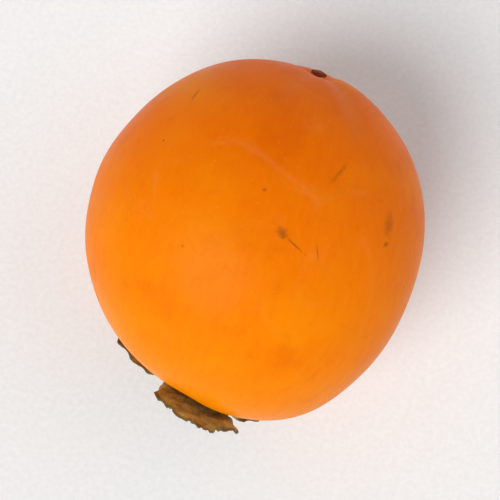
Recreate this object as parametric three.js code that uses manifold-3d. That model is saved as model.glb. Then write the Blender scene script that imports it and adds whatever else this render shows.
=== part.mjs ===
// A persimmon as picked, lying on its side: the grown fruit, the dry four-lobed calyx over its
// broad end, the clipped stub of the peduncle and the dried style at the apex.
//
// Millimetres, +Z up. The fruit's axis runs from the calyx (-Y) to the apex (+Y), with the apex
// raised a little. The origin is the middle of the small flat spot that the fruit rests on.
//
// Every surface is worked out in the fruit's own axes first: a station along the axis, from the
// rim of the calyx end to the apex, and a turn about the axis, from the top towards +X.

import * as THREE from 'three';
import { mergeVertices } from 'three/addons/utils/BufferGeometryUtils.js';
import Module from 'manifold-3d';

const wasm = await Module();
wasm.setup();

const DEGREE = Math.PI / 180;
const FULL_TURN = 2 * Math.PI;

// ---------------------------------------------------------------- driving dimensions, fruit

// Half outline of the fruit as [radius, station], from the floor of the calyx hollow over the
// rim and the shoulder to the apex: the control points of a smooth cubic spline.
const FRUIT_OUTLINE = [
  [0, 2.9],
  [3.8, 2.7],
  [7.4, 0.9],
  [11.1, -0.25],
  [15.7, 0.7],
  [21.1, 3.4],
  [26.7, 8.2],
  [31.1, 15.1],
  [34.2, 23.2],
  [35.3, 31.7],
  [34.7, 40.2],
  [32.3, 48.2],
  [28.2, 55.4],
  [22.5, 61.6],
  [15.6, 66.2],
  [7.9, 68.9],
  [0, 69.6],
];

const SQUARENESS = 0.016; // share of the radius by which four rounded corners stand out
const OVALNESS = 0.007;
const OVAL_TURN = 0.6;
const WANDER = 0.005; // a slow unevenness with three swells, which turns along the fruit
const WANDER_TWIST = 3.4;

const FURROW_DEPTH = 0.55; // four faint furrows that run down the shoulder from the calyx
const FURROW_SHARE = 0.27; // where along the outline they are deepest
const FURROW_SPREAD = 0.1;
const FURROW_SHARPNESS = 7;

const BOW = 0.3; // sideways bow of the axis at mid length
const APEX_LEAN = 1.8; // how far the apex stands off the axis, sideways
const OBLIQUENESS = 0.132; // the calyx end slopes back by this share towards one side
const OBLIQUE_UNTIL = [0.25, 0.7]; // shares of the outline between which the slope dies away

const PUCKER_DEPTH = 1.1; // the dimple round the style
const PUCKER_RADIUS = 2.8;

// ---------------------------------------------------------------- driving dimensions, pose

const APEX_RAISED = 21 * DEGREE;
const FLAT_DEPTH = 0.72; // what the flat spot takes off the round belly

// ---------------------------------------------------------------- driving dimensions, calyx

// Middle of the calyx's blade as [radius, station], with a point about every 3 mm along it: once
// for a lobe that lies on the fruit and once for one that has dried open, away from the fruit.
const BLADE_STEP = 3;
const BLADE_CLOSED = [
  [0, 1.3],
  [3, 1.5],
  [5.9, 0.35],
  [8.8, -0.45],
  [11.7, -1.2],
  [14.6, -0.9],
  [17.5, 0],
  [20.2, 1.3],
  [22.7, 3],
  [25, 5],
];
const BLADE_OPEN = [
  [0, 1.3],
  [3, 1.5],
  [5.9, 0.35],
  [8.8, -0.5],
  [11.6, -1.5],
  [14.3, -2.8],
  [17, -4.1],
  [19.7, -5.2],
  [22.6, -6],
  [25.5, -6.4],
];

// Each lobe by the turn of its midrib, the length from the centre to its tip along the blade,
// how far it has opened, how far its tip is drawn to one side, and how loosely it has dried.
const LOBES = [
  { turn: 11 * DEGREE, reach: 21, open: 0.31, skew: -0.12, loose: 0.8 },
  { turn: 96 * DEGREE, reach: 20, open: -0.16, skew: -0.3, loose: 0.15 },
  { turn: 184 * DEGREE, reach: 21.2, open: 0.5, skew: 0.06, loose: 1.3 },
  { turn: 268 * DEGREE, reach: 22, open: -0.12, skew: 0.3, loose: 0.2 },
];
const LOBE_HALF_ANGLE = 45 * DEGREE;
const LOBE_MIX_ANGLE = 32 * DEGREE;
const FREE_FROM = 7; // length along the blade at which it starts to leave the boss's plane
const FREE_FULLY = 18;
const SINUS_REACH = 9.8; // centre to the bottom of the cleft between two lobes
const LOBE_ROUNDNESS = 2.5;
const LOBE_FULLNESS = 0.5;
const TIP_POINT = 1.4; // the short point that a lobe ends in
const TIP_POINT_WIDTH = 0.16;

// The uneven margin: waves round the calyx, each a height in millimetres along the blade, the
// number of waves in a full turn, and a phase.
const MARGIN_WAVES = [
  { height: 0.42, count: 9, phase: 0.4 },
  { height: 0.34, count: 16, phase: 2.1 },
  { height: 0.22, count: 29, phase: 4.4 },
];

// Torn nicks in the margin: turn, depth in millimetres along the blade, and half width.
const NICKS = [
  { turn: 21 * DEGREE, depth: 0.7, width: 2.6 * DEGREE },
  { turn: 49 * DEGREE, depth: 4.5, width: 5 * DEGREE },
  { turn: 77 * DEGREE, depth: 1.1, width: 2.6 * DEGREE },
  { turn: 112 * DEGREE, depth: 1.9, width: 3.2 * DEGREE },
  { turn: 168 * DEGREE, depth: 1, width: 2.6 * DEGREE },
  { turn: 207 * DEGREE, depth: 2.1, width: 3 * DEGREE },
  { turn: 256 * DEGREE, depth: 1.4, width: 2.6 * DEGREE },
  { turn: 331 * DEGREE, depth: 3, width: 5 * DEGREE },
  { turn: 355 * DEGREE, depth: 0.8, width: 2.8 * DEGREE },
];

const CLEFT_LIFT = 1.2; // how far the lobes' sides fold up beside a cleft
const MARGIN_CURL = 1.2; // how far the dry margin curls away from the fruit
const CURL_FROM = 0.7; // share of the reach at which the curl begins

// Broad swells of the blade, which grow towards the margin: height, number in a full turn, phase.
const SWELLS = [
  { height: 0.55, count: 7, phase: 0.8 },
  { height: 0.4, count: 11, phase: 3.9 },
];
const BLADE_THICKNESS = 0.8;

const BOSS_REACH = 8.2; // the round boss in the middle, which the lobes grow from
const BOSS_RADIUS = 6.4;
const BOSS_THICKNESS = 1.9;
const RING_RADIUS = 4.9; // the swollen ring round the peduncle
const RING_HEIGHT = 0.9;
const RING_WIDTH = 1.3;

// ---------------------------------------------------------------- driving dimensions, small parts

const CLEARANCE = 0.3;

// Half outline of the clipped peduncle as [radius, height] above its foot.
const PEDUNCLE_FOOT = 2.75;
const PEDUNCLE_OUTLINE = [
  [0, 0],
  [2.3, 0],
  [PEDUNCLE_FOOT, 0.5],
  [2.55, 1.4],
  [2.15, 2.6],
  [2.05, 3.8],
  [2.2, 4.7],
  [1.95, 5.1],
  [0, 5.15],
];
const PEDUNCLE_CUT_SLOPE = 0.3; // the clippers cut it aslant
const PEDUNCLE_CUT_FROM = 3;

// Half outline of the dried style as [radius, height] above its foot.
const STYLE_FOOT = 1.3;
const STYLE_OUTLINE = [
  [0, 0],
  [STYLE_FOOT, 0.05],
  [1.45, 0.3],
  [1.1, 0.55],
  [0.5, 0.7],
  [0, 0.75],
];
const STYLE_FLATTENED = 0.6;
const STYLE_LEAN = 0.3;

// ---------------------------------------------------------------- how finely each piece is cut

const FRUIT_ROWS = 40;
const FRUIT_COLUMNS = 72;
const BOSS_ROWS = 5;
const CALYX_ROWS = 12;
const CALYX_COLUMNS = 120;
const PEDUNCLE_COLUMNS = 20;
const STYLE_COLUMNS = 12;

// ---------------------------------------------------------------- colours and finishes

const FINISHES = {
  skin: { color: 0xf07806, roughness: 0.38, metalness: 0 },
  dryCalyx: { color: 0x6b5230, roughness: 0.85, metalness: 0 },
  wood: { color: 0x6a5a44, roughness: 0.9, metalness: 0 },
  dryStyle: { color: 0x2b1a10, roughness: 0.8, metalness: 0 },
};

// ---------------------------------------------------------------- curves and rises

// 1 at the middle of a bump and falling to 0 on both sides of it.
function bump(x) {
  return Math.exp(-x * x);
}

// The angle from b to a, between minus half a turn and half a turn.
function angleBetween(a, b) {
  return Math.atan2(Math.sin(a - b), Math.cos(a - b));
}

// The point at place t of a uniform cubic B-spline over [radius, station] control points. The
// points are mirrored in the axis before the first one, and carried straight on past the last
// one unless that one is on the axis too, so that the curve crosses the axis square.
function splinePoint(points, t) {
  const last = points.length - 1;
  const from = Math.min(Math.floor(t), last - 1);
  const f = t - from;
  const weights = [
    (1 - f) ** 3 / 6,
    (3 * f ** 3 - 6 * f ** 2 + 4) / 6,
    (-3 * f ** 3 + 3 * f ** 2 + 3 * f + 1) / 6,
    f ** 3 / 6,
  ];
  const control = (i) => {
    if (i < 0) {
      return [-points[1][0], points[1][1]];
    }
    if (i > last) {
      const mirrored = points[last][0] === 0;
      return mirrored
        ? [-points[last - 1][0], points[last - 1][1]]
        : [2 * points[last][0] - points[last - 1][0], 2 * points[last][1] - points[last - 1][1]];
    }
    return points[i];
  };
  let radius = 0;
  let station = 0;
  weights.forEach((weight, k) => {
    const [r, s] = control(from - 1 + k);
    radius += weight * r;
    station += weight * s;
  });
  return [radius, station];
}

// ---------------------------------------------------------------- the fruit's surface

const OUTLINE_END = FRUIT_OUTLINE.length - 1;

// A point of the skin at a turn and at a place along the outline: the outline is swung round the
// axis, swelled by corners, an oval and a slow wander, cut by the furrows and dimpled at the apex.
function fruitPoint(turn, place) {
  const [radius, station] = splinePoint(FRUIT_OUTLINE, place);
  const share = place / OUTLINE_END;
  const body = Math.sin(Math.PI * share);
  const corners = -SQUARENESS * Math.cos(4 * turn);
  const oval = OVALNESS * Math.cos(2 * (turn - OVAL_TURN));
  const wander = WANDER * Math.cos(3 * turn + WANDER_TWIST * share);
  const furrows = ((1 + Math.cos(4 * turn)) / 2) ** FURROW_SHARPNESS;
  const furrow = FURROW_DEPTH * furrows * bump((share - FURROW_SHARE) / FURROW_SPREAD);
  const r = radius * (1 + body * (corners + oval + wander)) - furrow;
  const pucker = share > 0.5 ? PUCKER_DEPTH * bump(radius / PUCKER_RADIUS) : 0;
  const x = r * Math.sin(turn) + BOW * body ** 2 + APEX_LEAN * share ** 3;
  const oblique = OBLIQUENESS * (1 - THREE.MathUtils.smoothstep(share, ...OBLIQUE_UNTIL));
  return new THREE.Vector3(x, station - pucker - oblique * x, r * Math.cos(turn));
}

// ---------------------------------------------------------------- the calyx's surfaces

// The lobe that a turn falls in, and how far across it from -1 to 1.
function lobeAt(turn) {
  const away = (lobe) => Math.abs(angleBetween(turn, lobe.turn));
  const lobe = LOBES.reduce((best, other) => (away(other) < away(best) ? other : best));
  const across = angleBetween(turn, lobe.turn) / LOBE_HALF_ANGLE;
  return { lobe, across: THREE.MathUtils.clamp(across, -1, 1) };
}

// A smooth mix, at a turn, of a value that each lobe has.
function lobeMix(turn, value) {
  const weights = LOBES.map((lobe) => bump(angleBetween(turn, lobe.turn) / LOBE_MIX_ANGLE));
  const total = weights.reduce((sum, weight) => sum + weight);
  return weights.reduce((sum, weight, i) => sum + weight * LOBES[i][value], 0) / total;
}

// Sum of waves round the calyx at a turn.
function waves(list, turn) {
  return list.reduce((sum, wave) => sum + wave.height * Math.sin(wave.count * turn + wave.phase), 0);
}

// Length along the blade from the centre to the margin.
function bladeReach(turn) {
  const { lobe, across } = lobeAt(turn);
  const skewed = across + lobe.skew * (1 - across * across);
  const fullness = (1 - Math.abs(skewed) ** LOBE_ROUNDNESS) ** LOBE_FULLNESS;
  const whole = SINUS_REACH + (lobe.reach - SINUS_REACH) * fullness;
  const point = TIP_POINT * bump(skewed / TIP_POINT_WIDTH);
  const torn = NICKS.reduce(
    (sum, nick) => sum + nick.depth * bump(angleBetween(turn, nick.turn) / nick.width),
    0,
  );
  const uneven = fullness * waves(MARGIN_WAVES, turn);
  return Math.max(whole + point + uneven - torn, SINUS_REACH);
}

// Middle of the blade at a turn and at a length along it from the centre.
function bladePoint(turn, length) {
  const place = length / BLADE_STEP;
  const open = lobeMix(turn, 'open');
  const closedPoint = splinePoint(BLADE_CLOSED, place);
  const openPoint = splinePoint(BLADE_OPEN, place);
  const radius = THREE.MathUtils.lerp(closedPoint[0], openPoint[0], open);
  const station = THREE.MathUtils.lerp(closedPoint[1], openPoint[1], open);
  const share = (length - BOSS_REACH) / (bladeReach(turn) - BOSS_REACH);
  const edge = Math.max(0, (share - CURL_FROM) / (1 - CURL_FROM));
  const folded = CLEFT_LIFT * Math.abs(lobeAt(turn).across) ** 4;
  const curled = MARGIN_CURL * edge ** 2;
  const swollen = Math.max(0, share) * waves(SWELLS, turn);
  const free = THREE.MathUtils.smoothstep(length, FREE_FROM, FREE_FULLY);
  const lifted = free * lobeMix(turn, 'loose') * (folded + curled + swollen);
  const x = radius * Math.sin(turn);
  return new THREE.Vector3(x, station - lifted - OBLIQUENESS * x, radius * Math.cos(turn));
}

// Normal of the blade on the side that faces away from the fruit, by small steps.
function bladeNormal(turn, length) {
  const step = 0.05;
  const turnStep = 0.004;
  const along = bladePoint(turn, length + step).sub(bladePoint(turn, length - step));
  const around = bladePoint(turn + turnStep, length).sub(bladePoint(turn - turnStep, length));
  return around.cross(along).normalize();
}

// A point of the calyx's face on side 1, away from the fruit, or side -1, towards it. The boss
// in the middle is thick, and a swollen ring stands on its outer side.
function calyxPoint(turn, length, side) {
  const boss = 1 / (1 + (length / BOSS_RADIUS) ** 8);
  const half = THREE.MathUtils.lerp(BLADE_THICKNESS, BOSS_THICKNESS, boss) / 2;
  const ring = side > 0 ? RING_HEIGHT * bump((length - RING_RADIUS) / RING_WIDTH) : 0;
  if (length === 0) {
    return bladePoint(turn, 0).add(new THREE.Vector3(0, -side * half - ring, 0));
  }
  return bladePoint(turn, length).addScaledVector(bladeNormal(turn, length), side * half + ring);
}

// Length along the blade at a row of the calyx's net: the same for all turns on the boss, and
// then in equal steps to the margin.
function rowLength(turn, row) {
  if (row <= BOSS_ROWS) {
    return (BOSS_REACH * row) / BOSS_ROWS;
  }
  const share = (row - BOSS_ROWS) / (CALYX_ROWS - BOSS_ROWS);
  return THREE.MathUtils.lerp(BOSS_REACH, bladeReach(turn), share);
}

// ---------------------------------------------------------------- laying the fruit down

// Lowest place of the fruit's underside, and its height and station, once the apex is raised.
function findFlatSpot() {
  const steps = 4000;
  let lowest = new THREE.Vector3(0, 0, Infinity);
  for (let i = 0; i <= steps; i += 1) {
    const point = fruitPoint(Math.PI, (OUTLINE_END * i) / steps);
    point.applyAxisAngle(new THREE.Vector3(1, 0, 0), APEX_RAISED);
    if (point.z < lowest.z) {
      lowest = point;
    }
  }
  return lowest;
}

const FLAT_SPOT = findFlatSpot();
const LYING = new THREE.Matrix4()
  .makeTranslation(-FLAT_SPOT.x, -FLAT_SPOT.y, -FLAT_SPOT.z - FLAT_DEPTH)
  .multiply(new THREE.Matrix4().makeRotationX(APEX_RAISED));

// ---------------------------------------------------------------- meshes

// A closed surface over rings of points, from one pole to the other. pointAt(row, column) gives
// the points; the first and the last row are single points. From the row turnedFrom on, each
// face is split along its other diagonal, so that the two sides of a blade are split alike.
function ringedSolid(rows, columns, pointAt, turnedFrom = rows) {
  const positions = [];
  const index = [];
  positions.push(...pointAt(0, 0).toArray());
  for (let row = 1; row < rows; row += 1) {
    for (let column = 0; column < columns; column += 1) {
      positions.push(...pointAt(row, column).toArray());
    }
  }
  positions.push(...pointAt(rows, 0).toArray());
  const end = 1 + (rows - 1) * columns;
  const at = (row, column) => 1 + (row - 1) * columns + (column % columns);
  for (let column = 0; column < columns; column += 1) {
    index.push(0, at(1, column + 1), at(1, column));
    index.push(end, at(rows - 1, column), at(rows - 1, column + 1));
  }
  for (let row = 1; row < rows - 1; row += 1) {
    for (let column = 0; column < columns; column += 1) {
      const a = at(row, column);
      const b = at(row, column + 1);
      const c = at(row + 1, column + 1);
      const d = at(row + 1, column);
      if (row < turnedFrom) {
        index.push(a, b, c, a, c, d);
      } else {
        index.push(a, b, d, b, c, d);
      }
    }
  }
  const geometry = new THREE.BufferGeometry();
  geometry.setAttribute('position', new THREE.Float32BufferAttribute(positions, 3));
  geometry.setIndex(index);
  geometry.applyMatrix4(LYING);
  return geometry;
}

function toManifold(geometry) {
  const bare = geometry.clone();
  bare.deleteAttribute('normal');
  bare.deleteAttribute('uv');
  const merged = mergeVertices(bare);
  return new wasm.Manifold(
    new wasm.Mesh({
      numProp: 3,
      vertProperties: new Float32Array(merged.attributes.position.array),
      triVerts: new Uint32Array(merged.index.array),
    }),
  );
}

function fromManifold(solid) {
  const mesh = solid.getMesh();
  const geometry = new THREE.BufferGeometry();
  geometry.setAttribute('position', new THREE.BufferAttribute(mesh.vertProperties, 3));
  geometry.setIndex(new THREE.BufferAttribute(mesh.triVerts, 1));
  return geometry;
}

function finished(name, geometry, finish) {
  geometry.computeVertexNormals();
  const mesh = new THREE.Mesh(geometry, new THREE.MeshStandardMaterial(finish));
  mesh.name = name;
  return mesh;
}

// ---------------------------------------------------------------- the pieces

// The fruit: one grown body, cut level where it rests.
function makeFruit() {
  const round = ringedSolid(FRUIT_ROWS, FRUIT_COLUMNS, (row, column) =>
    fruitPoint((FULL_TURN * column) / FRUIT_COLUMNS, (OUTLINE_END * row) / FRUIT_ROWS),
  );
  const below = 40;
  const ground = new THREE.BoxGeometry(4 * below, 4 * below, below);
  ground.translate(0, 0, -below / 2);
  return fromManifold(toManifold(round).subtract(toManifold(ground)));
}

// The calyx: out along the side that faces away from the fruit, and back along the other.
function makeCalyx() {
  const rows = 2 * CALYX_ROWS + 1;
  return ringedSolid(
    rows,
    CALYX_COLUMNS,
    (row, column) => {
      const outer = row <= CALYX_ROWS;
      const step = outer ? row : rows - row;
      const turn = (FULL_TURN * column) / CALYX_COLUMNS;
      return calyxPoint(turn, rowLength(turn, step), outer ? 1 : -1);
    },
    CALYX_ROWS + 1,
  );
}

// A small turned piece that stands on a point of the axis and grows along direction, 1 towards
// the apex or -1 away from it. shift bends it, as a function of its height.
function turnedPiece(outline, columns, foot, direction, shift) {
  return ringedSolid(outline.length - 1, columns, (row, column) => {
    const [radius, height] = outline[row];
    const turn = (direction * FULL_TURN * column) / columns;
    const bent = shift(radius * Math.sin(turn), height, radius * Math.cos(turn));
    return new THREE.Vector3(foot.x + bent.x, foot.y + direction * bent.y, foot.z + bent.z);
  });
}

function makePeduncle() {
  const seat = calyxPoint(0, PEDUNCLE_FOOT, 1);
  const foot = new THREE.Vector3(0, seat.y - CLEARANCE, 0);
  return turnedPiece(PEDUNCLE_OUTLINE, PEDUNCLE_COLUMNS, foot, -1, (x, height, z) => {
    const cut = Math.max(0, height - PEDUNCLE_CUT_FROM) / PEDUNCLE_CUT_FROM;
    const slope = OBLIQUENESS * x + cut * PEDUNCLE_CUT_SLOPE * (x + z);
    return new THREE.Vector3(x, height + slope, z);
  });
}

function makeStyle() {
  const foot = fruitPoint(0, OUTLINE_END);
  foot.y += CLEARANCE + PUCKER_DEPTH * (1 - bump(STYLE_FOOT / PUCKER_RADIUS));
  return turnedPiece(STYLE_OUTLINE, STYLE_COLUMNS, foot, 1, (x, height, z) =>
    new THREE.Vector3(x + STYLE_LEAN * height ** 1.5, height, z * STYLE_FLATTENED),
  );
}

const persimmon = new THREE.Group();
persimmon.add(
  finished('fruit', makeFruit(), FINISHES.skin),
  finished('calyx', makeCalyx(), FINISHES.dryCalyx),
  finished('peduncle', makePeduncle(), FINISHES.wood),
  finished('style_tip', makeStyle(), FINISHES.dryStyle),
);

export default persimmon;
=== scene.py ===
# Looks of a whole ripe persimmon that lies on its side: the grown fruit, its dry four-lobed calyx,
# the clipped stub of the peduncle and the dried style at the apex.
#
# Each surface is worked out in millimetres in the fruit's own axes: x sideways, y the station along
# the axis from the calyx end to the apex, and z up. lay_down() then raises the apex, sets the flat
# spot on the floor and turns millimetres into metres. A turn is an angle about the axis, from the
# top towards +X, and a share runs from 0 at the calyx end to 1 at the apex or the margin.

import math

import bpy
import numpy as np
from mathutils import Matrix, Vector


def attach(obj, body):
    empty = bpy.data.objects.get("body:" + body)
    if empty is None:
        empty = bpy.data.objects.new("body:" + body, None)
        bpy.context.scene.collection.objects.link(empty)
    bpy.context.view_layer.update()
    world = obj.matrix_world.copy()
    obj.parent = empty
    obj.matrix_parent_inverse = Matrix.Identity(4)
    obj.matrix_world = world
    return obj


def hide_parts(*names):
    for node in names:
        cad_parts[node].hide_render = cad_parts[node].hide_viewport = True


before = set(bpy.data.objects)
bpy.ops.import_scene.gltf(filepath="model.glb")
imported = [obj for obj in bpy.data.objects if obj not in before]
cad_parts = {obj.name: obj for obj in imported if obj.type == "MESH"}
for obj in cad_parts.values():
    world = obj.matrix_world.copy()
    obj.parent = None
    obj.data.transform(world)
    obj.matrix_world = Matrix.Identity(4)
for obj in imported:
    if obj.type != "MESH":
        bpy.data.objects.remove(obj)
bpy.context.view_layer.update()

MM = 0.001
TURN = 2 * math.pi

# ------------------------------------------------ driving dimensions, as in the solids

# Half outline of the fruit as (radius, station), from the floor of the calyx hollow to the apex.
FRUIT_OUTLINE = (
    (0, 2.9), (3.8, 2.7), (7.4, 0.9), (11.1, -0.25), (15.7, 0.7), (21.1, 3.4),
    (26.7, 8.2), (31.1, 15.1), (34.2, 23.2), (35.3, 31.7), (34.7, 40.2), (32.3, 48.2),
    (28.2, 55.4), (22.5, 61.6), (15.6, 66.2), (7.9, 68.9), (0, 69.6),
)
OUTLINE_END = len(FRUIT_OUTLINE) - 1
SQUARENESS = 0.016
OVALNESS = 0.007
OVAL_TURN = 0.6
WANDER = 0.005
WANDER_TWIST = 3.4
FURROW_DEPTH = 0.55
FURROW_SHARE = 0.27
FURROW_SPREAD = 0.1
FURROW_SHARPNESS = 7
BOW = 0.3
APEX_LEAN = 1.8
OBLIQUENESS = 0.132
OBLIQUE_UNTIL = (0.25, 0.7)
PUCKER_DEPTH = 1.1
PUCKER_RADIUS = 2.8
APEX_RAISED = math.radians(21)
FLAT_DEPTH = 0.72

# Middle of the calyx's blade as (radius, station), one point every BLADE_STEP along it.
BLADE_STEP = 3
BLADE_CLOSED = (
    (0, 1.3), (3, 1.5), (5.9, 0.35), (8.8, -0.45), (11.7, -1.2),
    (14.6, -0.9), (17.5, 0), (20.2, 1.3), (22.7, 3), (25, 5),
)
BLADE_OPEN = (
    (0, 1.3), (3, 1.5), (5.9, 0.35), (8.8, -0.5), (11.6, -1.5),
    (14.3, -2.8), (17, -4.1), (19.7, -5.2), (22.6, -6), (25.5, -6.4),
)
# The four lobes: the turn of each midrib, the length to its tip, how far it has opened, how far the
# tip is drawn aside, and how loosely it has dried.
LOBE_TURN = np.radians((11, 96, 184, 268))
LOBE_REACH = np.array((21, 20, 21.2, 22))
LOBE_OPEN = np.array((0.31, -0.16, 0.5, -0.12))
LOBE_SKEW = np.array((-0.12, -0.3, 0.06, 0.3))
LOBE_LOOSE = np.array((0.8, 0.15, 1.3, 0.2))
LOBE_HALF_ANGLE = math.radians(45)
LOBE_MIX_ANGLE = math.radians(32)
FREE_FROM = 7
FREE_FULLY = 18
SINUS_REACH = 9.8
LOBE_ROUNDNESS = 2.5
LOBE_FULLNESS = 0.5
TIP_POINT = 1.4
TIP_POINT_WIDTH = 0.16
MARGIN_WAVES = ((0.42, 9, 0.4), (0.34, 16, 2.1), (0.22, 29, 4.4))  # height, count, phase
# Nicks in the margin: turn in degrees, depth, and half width in degrees.
NICKS = (
    (21, 0.7, 2.6), (49, 4.5, 5), (77, 1.1, 2.6), (112, 1.9, 3.2), (168, 1, 2.6),
    (207, 2.1, 3), (256, 1.4, 2.6), (331, 3, 5), (355, 0.8, 2.8),
)
CLEFT_LIFT = 1.2
MARGIN_CURL = 1.2
CURL_FROM = 0.7
SWELLS = ((0.55, 7, 0.8), (0.4, 11, 3.9))
BOSS_REACH = 8.2
BOSS_RADIUS = 6.4
BOSS_THICKNESS = 1.9
RING_RADIUS = 4.9
RING_HEIGHT = 0.9
RING_WIDTH = 1.3

# ------------------------------------------------ driving dimensions, fine detail

INSET = 0.05  # the fine skin lies this far inside the solids' flat faces
SKIN_ROWS, SKIN_COLUMNS = 240, 384
SKIN_SWELL = 0.15  # soft unevenness of the skin
SKIN_SWELL_SIZE = 15

# Fine folds that run into the dimple round the style, and others under the calyx: their depth, how
# many there are round the axis, and the radius at which they are deepest with its spread.
APEX_FOLD_DEPTH, APEX_FOLD_COUNT = 0.14, 15
APEX_FOLD_RADIUS, APEX_FOLD_SPREAD = 2.6, 1.9
RIM_FOLD_DEPTH, RIM_FOLD_COUNT = 0.3, 19
RIM_FOLD_RADIUS, RIM_FOLD_SPREAD = 9.5, 4.5

# Soft creases that run from the dimple towards the cheeks: turn in degrees, share along the outline
# at which they begin, depth, and half width.
CREASES = ((-10, 0.82, 0.3, 2), (37, 0.79, 0.38, 2.4), (152, 0.86, 0.24, 2), (238, 0.84, 0.3, 2.2))
CREASE_FADE = 0.07  # share over which a crease grows to its full depth
CREASE_SWAY, CREASE_SWAY_RATE = 0.5, 30
CREASE_ENDS_AT = 2.2  # radius inside which the creases have died away

CALYX_ROWS, CALYX_COLUMNS = 66, 576
BOSS_SHARE = 0.3  # share of the calyx's rows that lie on the boss
BLADE_THICKNESS = 0.5
MARGIN_THICKNESS = 0.2
CRUMPLE = 0.24  # small folds of the dry blade
CRUMPLE_SIZE, FINE_CRUMPLE_SIZE = 3.2, 1.5
FINE_CRUMPLE_SHARE = 0.5
CRUMPLED_FULLY = 12  # length along the blade from which it is crumpled in full
MARGIN_CRINKLE, CRINKLE_COUNT = 0.22, 34
BOSS_FOLD_HEIGHT, BOSS_FOLD_COUNT = 0.12, 44  # radial folds of the boss
BOSS_FOLD_RADIUS, BOSS_FOLD_SPREAD = 6, 2.4

FRAY, FRAY_MEAN = 0.12, 1.2  # raggedness of the dry margin, and its middle as a share of that
FRAY_COUNT, FINE_FRAY_COUNT, FINE_FRAY_SHARE = 34, 90, 0.4
TEARS = 20
TEAR_DEPTH = (0.2, 1)
TEAR_WIDTH = (0.6, 1.8)  # in degrees
UNFRAYED_ROOM, FRAYED_ROOM = 0.3, 5  # blade beyond the clefts without any fray, and with all of it

VEINS_PER_LOBE = 7
VEIN_SPREAD = 0.78  # share of the half lobe that the outermost veins run at
VEIN_FAN = (0.82, 0.2)  # share of it that they run at by the boss, and its growth outwards
VEIN_STRENGTH = (1.1, 0.35, 0.55)  # at the midrib's foot, and its loss sideways and outwards
VEINS_RISE_BETWEEN = (BOSS_REACH - 1, BOSS_REACH + 2)  # lengths along the blade
VEIN_HEIGHT = 0.22
VEIN_WIDTH = 0.34
VEIN_JITTER, VEIN_SWAY = 0.05, 0.02
VEIN_SHOWS_INSIDE = 0.3  # share of their height by which veins stand out on the inner face
SIDE_VEINS_BETWEEN = (9.5, 19)  # lengths along the blade at which side veins leave a main vein
SIDE_VEIN_STEP, SIDE_VEIN_JITTER = 1.7, 0.5
SIDE_VEIN_RUN = 4
SIDE_VEIN_RISE = 0.6  # length over which a side vein comes up
SIDE_VEIN_FULL = 0.6  # share of its run from which it fades
SIDE_VEIN_SLANT = (0.35, 0.6)
SIDE_VEIN_HEIGHT = 0.5
SIDE_VEIN_WIDTH = 0.7 * VEIN_WIDTH

# Rubbed marks on the skin: turn in degrees and share along the outline, half length and half width
# in millimetres, the way that they run from the level direction in radians, and how dark they are.
SCUFFS = (
    (11, 0.646, 1.7, 1.2, 0.4, 0.62),
    (15.5, 0.637, 3.2, 0.3, 0.41, 0.6),
    (25.2, 0.75, 3.4, 0.55, -0.91, 0.32),
    (23.2, 0.637, 2, 0.24, 1.17, 0.5),
    (1, 0.693, 0.6, 0.5, 0.2, 0.5),
    (48, 0.694, 3, 1.8, -1.4, 0.34),
    (47.5, 0.668, 1, 0.6, -0.4, 0.6),
    (-16, 0.58, 0.5, 0.4, 0.3, 0.4),
    (-58, 0.4, 2.6, 0.35, -0.9, 0.4),
    (-61, 0.43, 1.2, 0.9, -0.2, 0.4),
    (84, 0.5, 3.4, 0.3, 0.5, 0.4),
    (128, 0.55, 2.4, 1.1, 0.8, 0.42),
    (133, 0.535, 2.8, 0.3, -0.3, 0.45),
    (205, 0.72, 1.9, 0.9, 0.1, 0.4),
    (262, 0.58, 2.6, 1.2, -0.6, 0.4),
    (268, 0.6, 3.6, 0.28, 0.7, 0.4),
    (312, 0.78, 2, 0.5, 0.9, 0.35),
)
SCUFF_THINNESS = 0.3  # half length of a mark over how deep its ellipse reaches into the fruit

PEDUNCLE_ROWS, PEDUNCLE_COLUMNS = 72, 96
PEDUNCLE_FOOT = 2.75
PEDUNCLE_OUTLINE = (
    (2.6, 0), (PEDUNCLE_FOOT, 0.5), (2.55, 1.4), (2.15, 2.6), (2.05, 3.8), (2.2, 4.7), (1.95, 5.1),
)
PEDUNCLE_SIDE = 0.72  # share of the stub's rows that lie on its side, and the rest on its cut face
PEDUNCLE_CUT_SLOPE = 0.3
PEDUNCLE_CUT_FROM = 3
PEDUNCLE_SUNK = 0.6
CLEARANCE = 0.3
BARK_INSET = 0.08
BARK_RIDGE, BARK_RIDGE_COUNT = 0.09, 17
FINE_BARK_RIDGE, FINE_BARK_COUNT, BARK_TWIST = 0.04, 41, 0.3
CUT_UNEVENNESS, CUT_UNEVEN_COUNT = 0.2, 9
CUT_RIM = 0.12  # how far the cut face stands above its rim

STYLE_ROWS, STYLE_COLUMNS = 36, 48
STYLE_FOOT = 1.3
STYLE_OUTLINE = ((1.3, -0.4), (1.38, 0.22), (1.05, 0.42), (0.45, 0.58))
STYLE_SIDE = 0.85  # share of the style's rows that lie on its side, and the rest on its top
STYLE_TOP_RISE = 0.08
STYLE_SUNK = 0.25
STYLE_FLATTENED = 0.6
STYLE_LEAN = 0.3
STYLE_RIDGES, STYLE_RIDGE_COUNT = 0.16, 4
STYLE_SHRIVEL, STYLE_SHRIVEL_COUNT = 0.05, 13
# The dark oval round the style is partly the scar's own colour and partly painted shade in the
# dimple's hollow.
SCAR_AND_SHADE_RADIUS = 1.5  # the dark rim of the dimple round the style

# Seeds of the random unevenness.
SKIN_SEED = 11
APEX_FOLD_SEED, RIM_FOLD_SEED = 21, 22
TEAR_SEED, FRAY_SEED, FINE_FRAY_SEED = 31, 32, 33
VEIN_SEED = 41
CRUMPLE_SEED, FINE_CRUMPLE_SEED, BOSS_FOLD_SEED, CRINKLE_SEED = 51, 52, 53, 54
BARK_SEED, FINE_BARK_SEED, CUT_SEED = 61, 62, 63
STYLE_SEED = 71

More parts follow.
